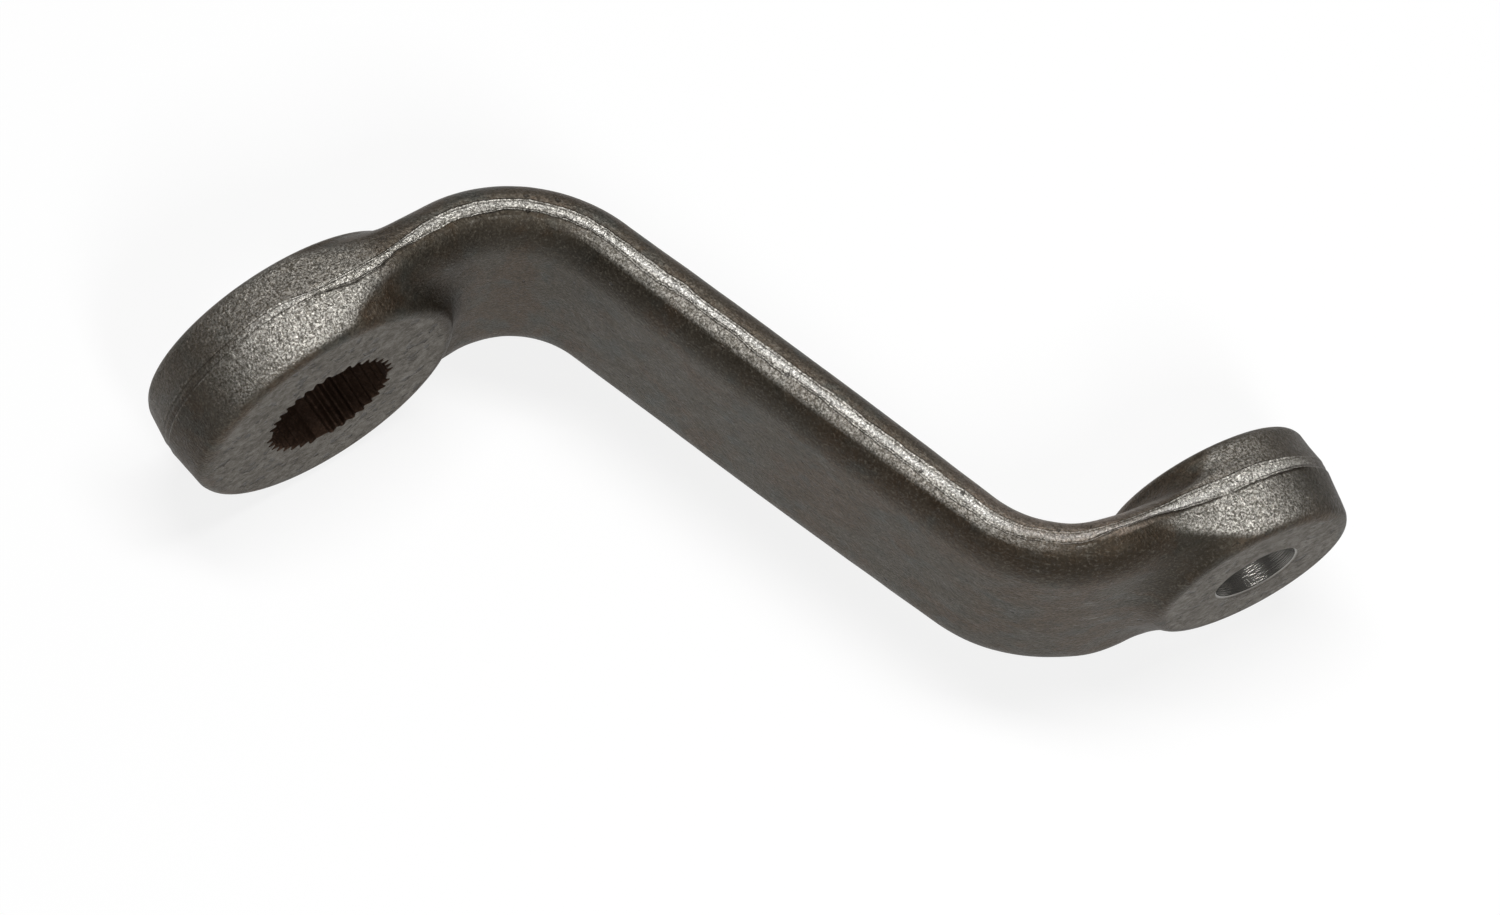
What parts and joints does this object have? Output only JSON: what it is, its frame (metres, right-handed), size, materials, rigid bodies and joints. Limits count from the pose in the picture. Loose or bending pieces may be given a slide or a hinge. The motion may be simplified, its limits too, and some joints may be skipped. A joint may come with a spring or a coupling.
{
  "type": "pitman arm",
  "caption": "Forged S-shaped drop pitman arm with a serrated tapered shaft bore at one end and a tapered ball stud hole at the other.",
  "frame": {"origin": "on the axis of the serrated shaft bore, on the parting surface of the forging", "axes": "+X towards the stud eye, +Y along the shaft bore towards the steering gear, +Z across the width of the web"},
  "size_m": [0.2083, 0.1648, 0.068],
  "materials": {
    "forged_steel": "as forged and shot blasted, dark grey-brown oxide, bright trimmed parting land"
  },
  "bodies": {
    "root": {"pitman_arm": "forged_steel"}
  },
  "joints": []
}
